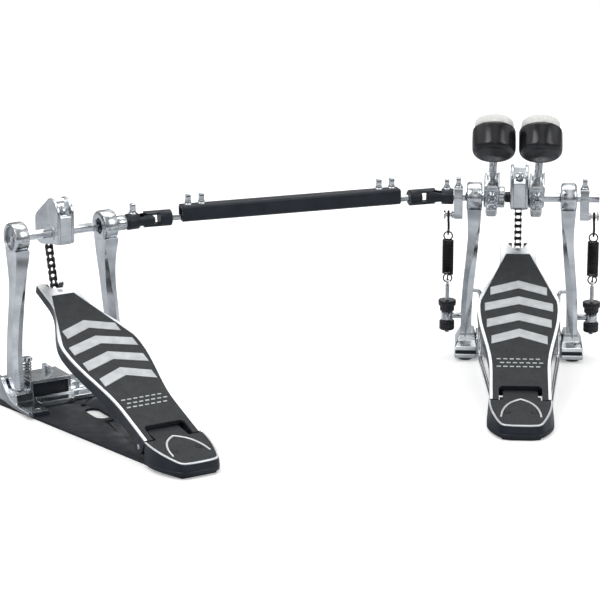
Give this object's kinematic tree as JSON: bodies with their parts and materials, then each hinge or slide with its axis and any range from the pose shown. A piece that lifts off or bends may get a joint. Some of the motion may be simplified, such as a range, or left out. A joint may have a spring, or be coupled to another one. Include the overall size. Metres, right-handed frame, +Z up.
{
  "type": "twin bass drum pedal",
  "caption": "Twin bass drum pedal with chain-driven cams, return springs and felt beaters; a slave pedal drives its own beater through a telescopic shaft with universal joints.",
  "frame": {"origin": "on the floor, below the main pedal's shaft, midway between its two posts", "axes": "+X along the main pedal's shaft, away from the slave pedal; +Y towards the drum; +Z up"},
  "size_m": [0.6089, 0.4704, 0.2778],
  "materials": {
    "die_cast": "polished die-cast, clear coated",
    "bright_steel": "bright plated",
    "bearing_steel": "ground steel with dark seals",
    "black_paint": "satin black powder coat",
    "black_steel": "black oxide, lightly oiled",
    "grip": "textured charcoal coat",
    "black_plastic": "gloss black",
    "rubber": "matte",
    "felt": "pressed wool felt"
  },
  "bodies": {
    "main_frame": {"primary_base": "die_cast", "primary_post_left": "die_cast", "primary_post_right": "die_cast", "primary_heel_plate": "black_paint", "radius_rod": "bright_steel", "bearings_primary": "bearing_steel", "hinge_pin_primary": "bright_steel", "primary_screws": "bright_steel", "rubber_feet": "rubber", "spring_studs": "bright_steel"},
    "clamp_jaw": {"hoop_clamp_jaw": "die_cast"},
    "clamp_screw": {"hoop_clamp_screw": "bright_steel"},
    "primary_board": {"primary_footboard": "die_cast", "primary_grip": "grip"},
    "primary_chain_run": {"primary_chain": "black_steel"},
    "primary_shaft_body": {"primary_shaft": "bright_steel", "primary_cam": "die_cast", "primary_chain_wrap": "black_steel", "beater_holder_right": "die_cast", "rocker_right": "die_cast", "primary_shaft_screws": "bright_steel", "shaft_sleeve": "black_plastic"},
    "secondary_shaft_body": {"secondary_shaft": "bright_steel", "beater_holder_left": "die_cast", "rocker_left": "die_cast", "secondary_shaft_screws": "bright_steel", "joint_yoke_primary": "black_paint"},
    "primary_cross": {"joint_cross_primary": "black_paint"},
    "left_beater": {"beater_rod_left": "bright_steel", "beater_head_left": "black_plastic", "beater_felt_left": "felt"},
    "right_beater": {"beater_rod_right": "bright_steel", "beater_head_right": "black_plastic", "beater_felt_right": "felt"},
    "left_tension": {"tension_rod_left": "bright_steel", "spring_left": "black_steel"},
    "right_tension": {"tension_rod_right": "bright_steel", "spring_right": "black_steel"},
    "left_hanger": {"spring_hanger_left": "black_steel"},
    "right_hanger": {"spring_hanger_right": "black_steel"},
    "left_knob": {"tension_knob_left": "black_plastic"},
    "right_knob": {"tension_knob_right": "black_plastic"},
    "drive_tube_body": {"drive_tube": "black_paint", "drive_rod_primary": "bright_steel", "drive_tube_bolts": "bright_steel"},
    "slave_frame": {"slave_base_plate": "black_paint", "slave_base": "die_cast", "slave_posts": "die_cast", "slave_heel_plate": "black_paint", "bearings_slave": "bearing_steel", "hinge_pin_slave": "bright_steel", "slave_screws": "bright_steel"},
    "slave_board": {"slave_footboard": "die_cast", "slave_grip": "grip"},
    "slave_chain_run": {"slave_chain": "black_steel"},
    "slave_shaft_body": {"slave_shaft_and_collar": "bright_steel", "slave_cam": "die_cast", "joint_yoke_slave": "black_paint"},
    "slave_cross": {"joint_cross_slave": "black_paint"},
    "drive_rod_body": {"drive_rod_slave": "bright_steel"}
  },
  "joints": [
    {"name": "slave_spacing", "type": "slide", "parent": "main_frame", "child": "slave_frame", "axis": [-0.9268, -0.3755, 0], "range_m": [-0.008, 0.045]},
    {"name": "primary_shaft_turn", "type": "hinge", "parent": "main_frame", "child": "primary_shaft_body", "pos_m": [0, 0, 0.169], "axis": [1, 0, 0], "range_deg": [-55, 0]},
    {"name": "slave_shaft_turn", "type": "hinge", "parent": "slave_frame", "child": "slave_shaft_body", "pos_m": [-0.454, -0.168, 0.169], "axis": [0.8251, 0.565, 0], "range_deg": [-55, 0]},
    {"name": "primary_board_hinge", "type": "hinge", "parent": "main_frame", "child": "primary_board", "pos_m": [-0.0025, -0.217, 0.015], "axis": [1, 0, 0], "range_deg": [-7.3, 0]},
    {"name": "slave_board_hinge", "type": "hinge", "parent": "slave_frame", "child": "slave_board", "pos_m": [-0.33346, -0.34846, 0.015], "axis": [0.8251, 0.565, 0], "range_deg": [-7.3, 0]},
    {"name": "primary_chain_swing", "type": "hinge", "parent": "primary_board", "child": "primary_chain_run", "pos_m": [-0.0025, 0.01144, 0.10912], "axis": [1, 0, 0], "range_deg": [0, 20]},
    {"name": "slave_chain_swing", "type": "hinge", "parent": "slave_board", "child": "slave_chain_run", "pos_m": [-0.46344, -0.15864, 0.10512], "axis": [0.8251, 0.565, 0], "range_deg": [0, 18]},
    {"name": "secondary_shaft_turn", "type": "hinge", "parent": "main_frame", "child": "secondary_shaft_body", "pos_m": [0, 0, 0.169], "axis": [1, 0, 0], "range_deg": [-53.2, 0]},
    {"name": "primary_cross_tilt", "type": "hinge", "parent": "secondary_shaft_body", "child": "primary_cross", "pos_m": [-0.094, 0, 0.169], "axis": [0, 1, 0], "range_deg": [-19, 0]},
    {"name": "slave_cross_tilt", "type": "hinge", "parent": "slave_shaft_body", "child": "slave_cross", "pos_m": [-0.37479, -0.11376, 0.169], "axis": [-0.565, 0.8251, 0], "range_deg": [0, 11]},
    {"name": "drive_tube_turn", "type": "hinge", "parent": "main_frame", "child": "drive_tube_body", "pos_m": [-0.094, 0, 0.169], "axis": [0.9268, 0.3755, 0], "range_deg": [-56, 0]},
    {"name": "drive_rod_turn", "type": "hinge", "parent": "slave_frame", "child": "drive_rod_body", "pos_m": [-0.37479, -0.11376, 0.169], "axis": [0.9268, 0.3755, 0], "range_deg": [-56, 0]},
    {"name": "right_spring_swing", "type": "hinge", "parent": "main_frame", "child": "right_tension", "pos_m": [0.075, -0.00264, 0.042], "axis": [1, 0, 0], "range_deg": [0, 7.4]},
    {"name": "right_spring_stretch", "type": "slide", "parent": "right_tension", "child": "right_hanger", "axis": [0, 0, 1], "range_m": [0, 0.0112], "deforming": ["spring_right"]},
    {"name": "right_knob_turn", "type": "hinge", "parent": "right_tension", "child": "right_knob", "pos_m": [0.075, -0.00264, 0.042], "axis": [0, 0, 1], "continuous": true},
    {"name": "right_beater_height", "type": "slide", "parent": "primary_shaft_body", "child": "right_beater", "axis": [0, -0.7986, 0.6018], "range_m": [-0.006, 0.02]},
    {"name": "left_spring_swing", "type": "hinge", "parent": "main_frame", "child": "left_tension", "pos_m": [-0.075, -0.00264, 0.042], "axis": [1, 0, 0], "range_deg": [0, 7.4]},
    {"name": "left_spring_stretch", "type": "slide", "parent": "left_tension", "child": "left_hanger", "axis": [0, 0, 1], "range_m": [0, 0.0112], "deforming": ["spring_left"]},
    {"name": "left_knob_turn", "type": "hinge", "parent": "left_tension", "child": "left_knob", "pos_m": [-0.075, -0.00264, 0.042], "axis": [0, 0, 1], "continuous": true},
    {"name": "left_beater_height", "type": "slide", "parent": "secondary_shaft_body", "child": "left_beater", "axis": [0, -0.7986, 0.6018], "range_m": [-0.006, 0.02]},
    {"name": "clamp_jaw_pivot", "type": "hinge", "parent": "main_frame", "child": "clamp_jaw", "pos_m": [0, 0.014, 0.032], "axis": [1, 0, 0], "range_deg": [-6, 0]},
    {"name": "clamp_screw_turn", "type": "hinge", "parent": "clamp_jaw", "child": "clamp_screw", "pos_m": [0, -0.004, 0.03], "axis": [0, 0, 1], "continuous": true}
  ],
  "couplings": [
    {"joint": "primary_board_hinge", "follows": "primary_shaft_turn", "ratio": 0.1305},
    {"joint": "primary_chain_swing", "follows": "primary_shaft_turn", "ratio": -0.36},
    {"joint": "slave_board_hinge", "follows": "slave_shaft_turn", "ratio": 0.1275},
    {"joint": "slave_chain_swing", "follows": "slave_shaft_turn", "ratio": -0.322},
    {"joint": "primary_cross_tilt", "follows": "slave_shaft_turn", "ratio": 0.338},
    {"joint": "slave_cross_tilt", "follows": "slave_shaft_turn", "ratio": -0.19},
    {"joint": "secondary_shaft_turn", "follows": "slave_shaft_turn", "ratio": 0.9652},
    {"joint": "drive_tube_turn", "follows": "slave_shaft_turn", "ratio": 1.015},
    {"joint": "drive_rod_turn", "follows": "slave_shaft_turn", "ratio": 1.015},
    {"joint": "right_spring_swing", "follows": "primary_shaft_turn", "ratio": -0.1336},
    {"joint": "right_spring_stretch", "follows": "primary_shaft_turn", "m_per_rad": -0.01151},
    {"joint": "left_spring_swing", "follows": "slave_shaft_turn", "ratio": -0.12895},
    {"joint": "left_spring_stretch", "follows": "slave_shaft_turn", "m_per_rad": -0.011109}
  ]
}
